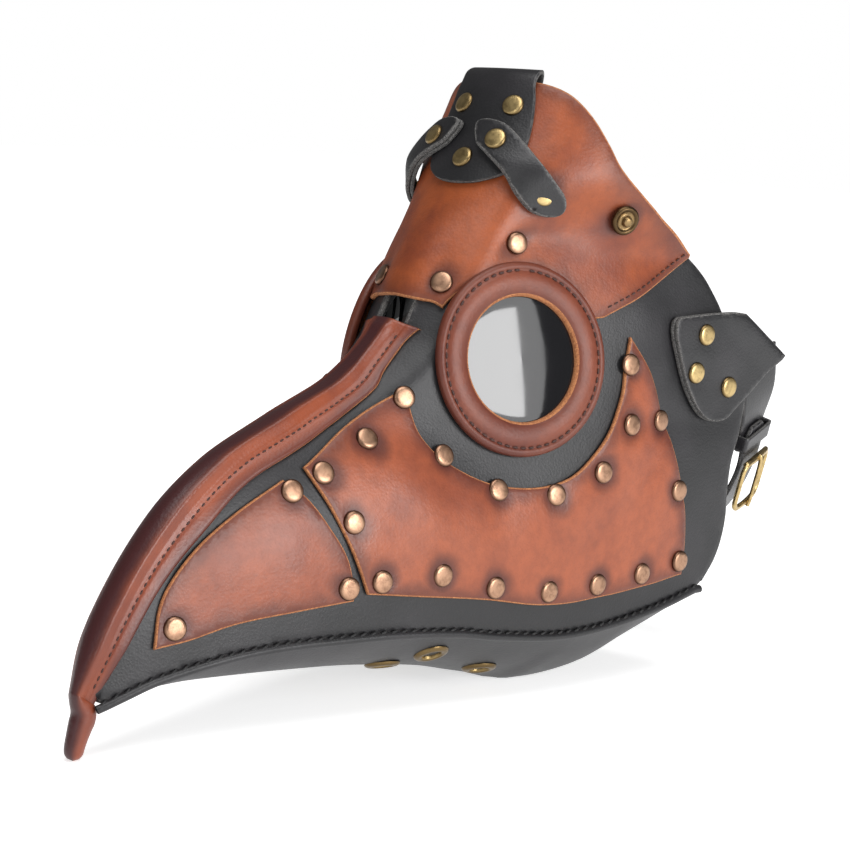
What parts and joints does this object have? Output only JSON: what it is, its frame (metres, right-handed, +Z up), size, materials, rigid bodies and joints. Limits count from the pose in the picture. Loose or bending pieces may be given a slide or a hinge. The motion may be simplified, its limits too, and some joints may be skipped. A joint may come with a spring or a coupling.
{
  "type": "plague doctor mask",
  "caption": "Costume plague doctor mask: long hooked beak of riveted tan and black leather panels, round dark lenses and a buckled head strap.",
  "frame": {"origin": "middle of the overall box in plan, at table height, with the mask resting on its beak tip and chin", "axes": "+X towards the wearer's left, -Y forwards along the beak, +Z up"},
  "size_m": [0.1288, 0.3497, 0.2446],
  "materials": {
    "black_leather": "satin",
    "tan_leather": "satin",
    "burnished_leather": "satin",
    "lens": "gloss",
    "brass": "antique satin"
  },
  "bodies": {
    "mask": {"left_side_panel": "black_leather", "right_side_panel": "black_leather", "bottom_panel": "black_leather", "crown_patch": "black_leather", "left_brow_strap": "black_leather", "right_brow_strap": "black_leather", "crown_strap_upper": "black_leather", "left_anchor_plate": "black_leather", "right_anchor_plate": "black_leather", "left_anchor_pad": "black_leather", "right_anchor_pad": "black_leather", "left_lens_backing_ring": "black_leather", "right_lens_backing_ring": "black_leather", "forehead_panel": "tan_leather", "left_cheek_patch": "tan_leather", "right_cheek_patch": "tan_leather", "left_beak_patch": "tan_leather", "right_beak_patch": "tan_leather", "ridge_cover": "burnished_leather", "left_eye_ring": "burnished_leather", "right_eye_ring": "burnished_leather", "left_lens": "lens", "right_lens": "lens", "left_forehead_rivet_1": "brass", "right_forehead_rivet_1": "brass", "left_forehead_rivet_2": "brass", "right_forehead_rivet_2": "brass", "left_beak_rivet_1": "brass", "right_beak_rivet_1": "brass", "left_beak_rivet_2": "brass", "right_beak_rivet_2": "brass", "left_beak_rivet_3": "brass", "right_beak_rivet_3": "brass", "left_anchor_rivet_1": "brass", "right_anchor_rivet_1": "brass", "left_anchor_rivet_2": "brass", "right_anchor_rivet_2": "brass", "left_anchor_rivet_3": "brass", "right_anchor_rivet_3": "brass", "left_brow_rivet_1": "brass", "right_brow_rivet_1": "brass", "left_brow_rivet_2": "brass", "right_brow_rivet_2": "brass", "crown_rivet_1": "brass", "crown_rivet_2": "brass", "crown_rivet_3": "brass", "left_snap_stud": "brass", "right_snap_stud": "brass", "vent_eyelet_1": "brass", "vent_eyelet_2": "brass", "vent_eyelet_3": "brass", "vent_eyelet_4": "brass", "vent_eyelet_5": "brass", "vent_eyelet_6": "brass"},
    "rear_strap": {"rear_strap_short": "black_leather", "rear_strap_long": "black_leather", "crown_strap_lower": "black_leather"},
    "buckle": {"buckle_frame": "brass"},
    "prong": {"buckle_prong": "brass"},
    "keeper": {"strap_keeper": "black_leather"}
  },
  "joints": [
    {"name": "rear_strap_swing", "type": "hinge", "parent": "mask", "child": "rear_strap", "pos_m": [0, 0.1418, 0.141], "axis": [1, 0, 0], "range_deg": [0, 90]},
    {"name": "buckle_tilt", "type": "hinge", "parent": "rear_strap", "child": "buckle", "pos_m": [0.05036, 0.15843, 0.08724], "axis": [0.2509, -0.9498, -0.187], "range_deg": [-5, 12]},
    {"name": "prong_turn", "type": "hinge", "parent": "buckle", "child": "prong", "pos_m": [0.05036, 0.15843, 0.08724], "axis": [0.2509, -0.9498, -0.187], "range_deg": [0, 60]},
    {"name": "keeper_slide", "type": "slide", "parent": "rear_strap", "child": "keeper", "axis": [-0.327, 0.173, -0.929], "range_m": [-0.004, 0.003]}
  ]
}
